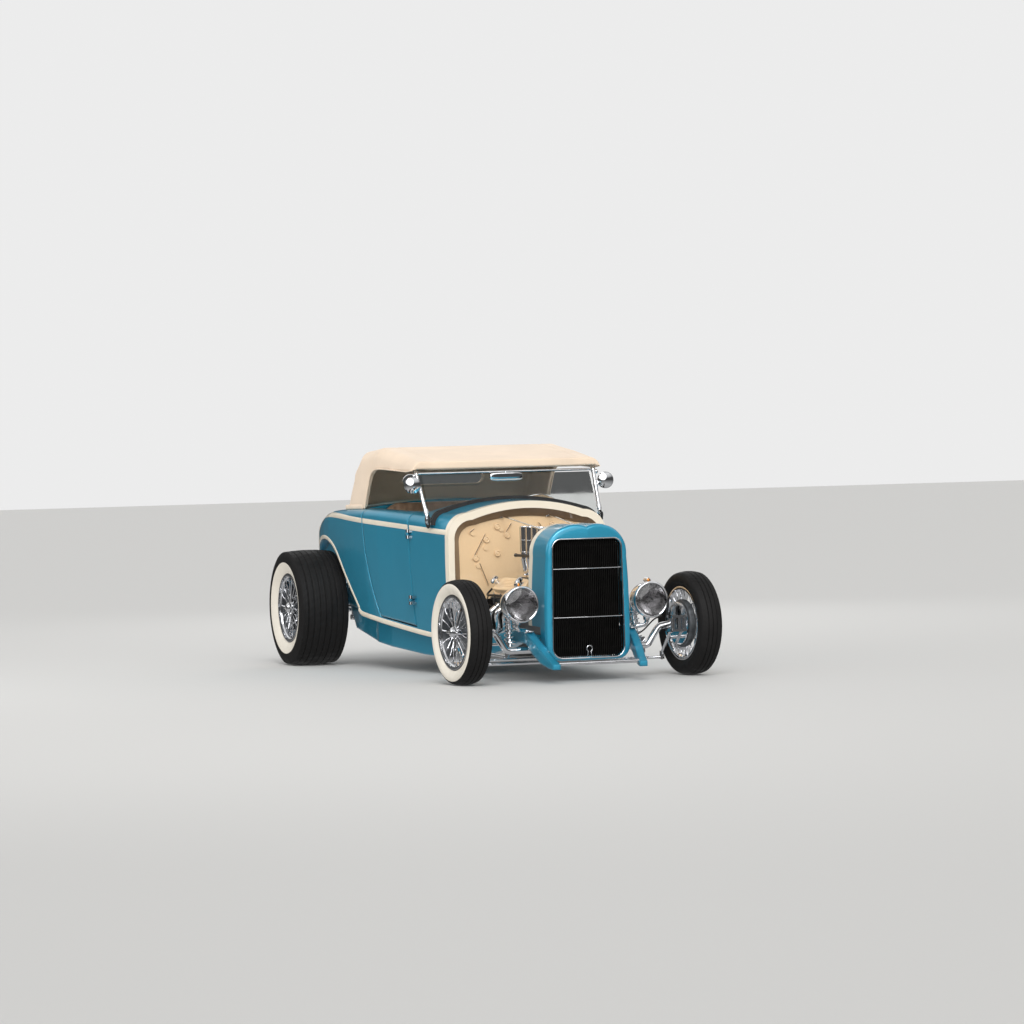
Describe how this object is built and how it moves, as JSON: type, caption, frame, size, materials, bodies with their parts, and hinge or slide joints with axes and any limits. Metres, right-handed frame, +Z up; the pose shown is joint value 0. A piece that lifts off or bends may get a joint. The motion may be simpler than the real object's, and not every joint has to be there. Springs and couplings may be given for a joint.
{
  "type": "street rod roadster",
  "caption": "Chopped 1930s style street rod roadster with open engine, slatted vee grille, wire wheels and a lift-off top.",
  "frame": {"origin": "on the ground under the middle of the car's overall length and width", "axes": "+Z up, -Y towards the nose, +X towards the car's left side"},
  "size_m": [1.8402, 3.417, 1.3616],
  "materials": {
    "body_paint": "gloss",
    "cream_paint": "gloss",
    "frame_paint": "gloss",
    "black_paint": "satin",
    "chrome": "polished",
    "cast_metal": "satin",
    "tread_rubber": "matte",
    "seal_rubber": "satin",
    "top_cloth": "matte",
    "seat_leather": "satin",
    "clear_glass": "clear"
  },
  "bodies": {
    "chassis": {"body_tub": "body_paint", "cowl": "body_paint", "crossmembers": "frame_paint", "dash": "cream_paint", "door_hinges": "chrome", "engine_block": "cast_metal", "engine_pulleys": "chrome", "exhaust": "chrome", "firewall": "cream_paint", "floor_panel": "black_paint", "frame_rail_left": "frame_paint", "frame_rail_right": "frame_paint", "front_axle": "chrome", "front_suspension": "chrome", "fuel_tank": "black_paint", "gearbox": "cast_metal", "grille_insert": "black_paint", "grille_shell": "body_paint", "headlamps": "chrome", "intake_stacks": "chrome", "radiator": "black_paint", "radiator_stays": "chrome", "rear_axle": "chrome", "rear_suspension": "chrome", "seat_back": "seat_leather", "seat_cushion": "seat_leather", "soft_top": "top_cloth", "spreader_bar": "chrome", "steering_box": "cast_metal", "steering_column": "chrome", "tail_lamps": "chrome", "valve_covers": "cream_paint", "windshield_frame": "chrome", "windshield_glass": "clear_glass", "windshield_seal": "seal_rubber"},
    "knuckle_right": {"knuckle_right": "chrome"},
    "knuckle_left": {"knuckle_left": "chrome"},
    "wheel_front_right": {"tyre_front_right": "tread_rubber", "rim_front_right": "chrome"},
    "wheel_front_left": {"tyre_front_left": "tread_rubber", "rim_front_left": "chrome"},
    "wheel_rear_right": {"tyre_rear_right": "tread_rubber", "rim_rear_right": "chrome"},
    "wheel_rear_left": {"tyre_rear_left": "tread_rubber", "rim_rear_left": "chrome"},
    "tie_rod": {"tie_rod": "chrome"},
    "drag_link": {"drag_link": "chrome"},
    "pitman_arm": {"pitman_arm": "chrome"},
    "steering_wheel": {"steering_wheel": "chrome"},
    "door_right": {"door_right": "body_paint"},
    "door_left": {"door_left": "body_paint"},
    "decklid": {"decklid": "body_paint"}
  },
  "joints": [
    {"name": "steer_right", "type": "hinge", "parent": "chassis", "child": "knuckle_right", "pos_m": [-0.6, -1.354, 0.304], "axis": [0, 0, 1], "range_deg": [-28.6, 21.4]},
    {"name": "steer_left", "type": "hinge", "parent": "chassis", "child": "knuckle_left", "pos_m": [0.6, -1.354, 0.304], "axis": [0, 0, 1], "range_deg": [-28.6, 21.4]},
    {"name": "tie_rod_pivot", "type": "hinge", "parent": "knuckle_right", "child": "tie_rod", "pos_m": [-0.60917, -1.20829, 0.102], "axis": [0, 0, 1], "range_deg": [-21.4, 28.6]},
    {"name": "drag_link_pivot", "type": "hinge", "parent": "knuckle_right", "child": "drag_link", "pos_m": [-0.60527, -1.27017, 0.129], "axis": [0, 0, 1], "range_deg": [-21.4, 28.6]},
    {"name": "pitman_turn", "type": "hinge", "parent": "chassis", "child": "pitman_arm", "pos_m": [0.262, -1.292, 0.17], "axis": [0, 0, 1], "range_deg": [-28.6, 21.4]},
    {"name": "steering_wheel_turn", "type": "hinge", "parent": "chassis", "child": "steering_wheel", "pos_m": [0.33, 0.146, 0.89], "axis": [0, 0.8854, 0.4648], "range_deg": [-429, 321]},
    {"name": "spin_front_left", "type": "hinge", "parent": "knuckle_left", "child": "wheel_front_left", "pos_m": [0.71477, -1.34678, 0.304], "axis": [0.998, 0.0628, 0], "continuous": true},
    {"name": "spin_front_right", "type": "hinge", "parent": "knuckle_right", "child": "wheel_front_right", "pos_m": [-0.71477, -1.36122, 0.304], "axis": [0.998, 0.0628, 0], "continuous": true},
    {"name": "spin_rear_left", "type": "hinge", "parent": "chassis", "child": "wheel_rear_left", "pos_m": [0.76, 1.338, 0.3635], "axis": [1, 0, 0], "continuous": true},
    {"name": "spin_rear_right", "type": "hinge", "parent": "chassis", "child": "wheel_rear_right", "pos_m": [-0.76, 1.338, 0.3635], "axis": [1, 0, 0], "continuous": true},
    {"name": "door_left_hinge", "type": "hinge", "parent": "chassis", "child": "door_left", "pos_m": [0.584, -0.108, 0.446], "axis": [0, -0.0652, -0.9979], "range_deg": [0, 65]},
    {"name": "door_right_hinge", "type": "hinge", "parent": "chassis", "child": "door_right", "pos_m": [-0.584, -0.108, 0.446], "axis": [0, 0.0652, 0.9979], "range_deg": [0, 65]},
    {"name": "decklid_hinge", "type": "hinge", "parent": "chassis", "child": "decklid", "pos_m": [0, 1.086, 1.046], "axis": [1, 0, 0], "range_deg": [0, 55]}
  ],
  "couplings": [
    {"joint": "steer_left", "follows": "steer_right", "ratio": 1},
    {"joint": "tie_rod_pivot", "follows": "steer_right", "ratio": -1},
    {"joint": "drag_link_pivot", "follows": "steer_right", "ratio": -1},
    {"joint": "pitman_turn", "follows": "steer_right", "ratio": 1},
    {"joint": "steering_wheel_turn", "follows": "steer_right", "ratio": 15}
  ]
}
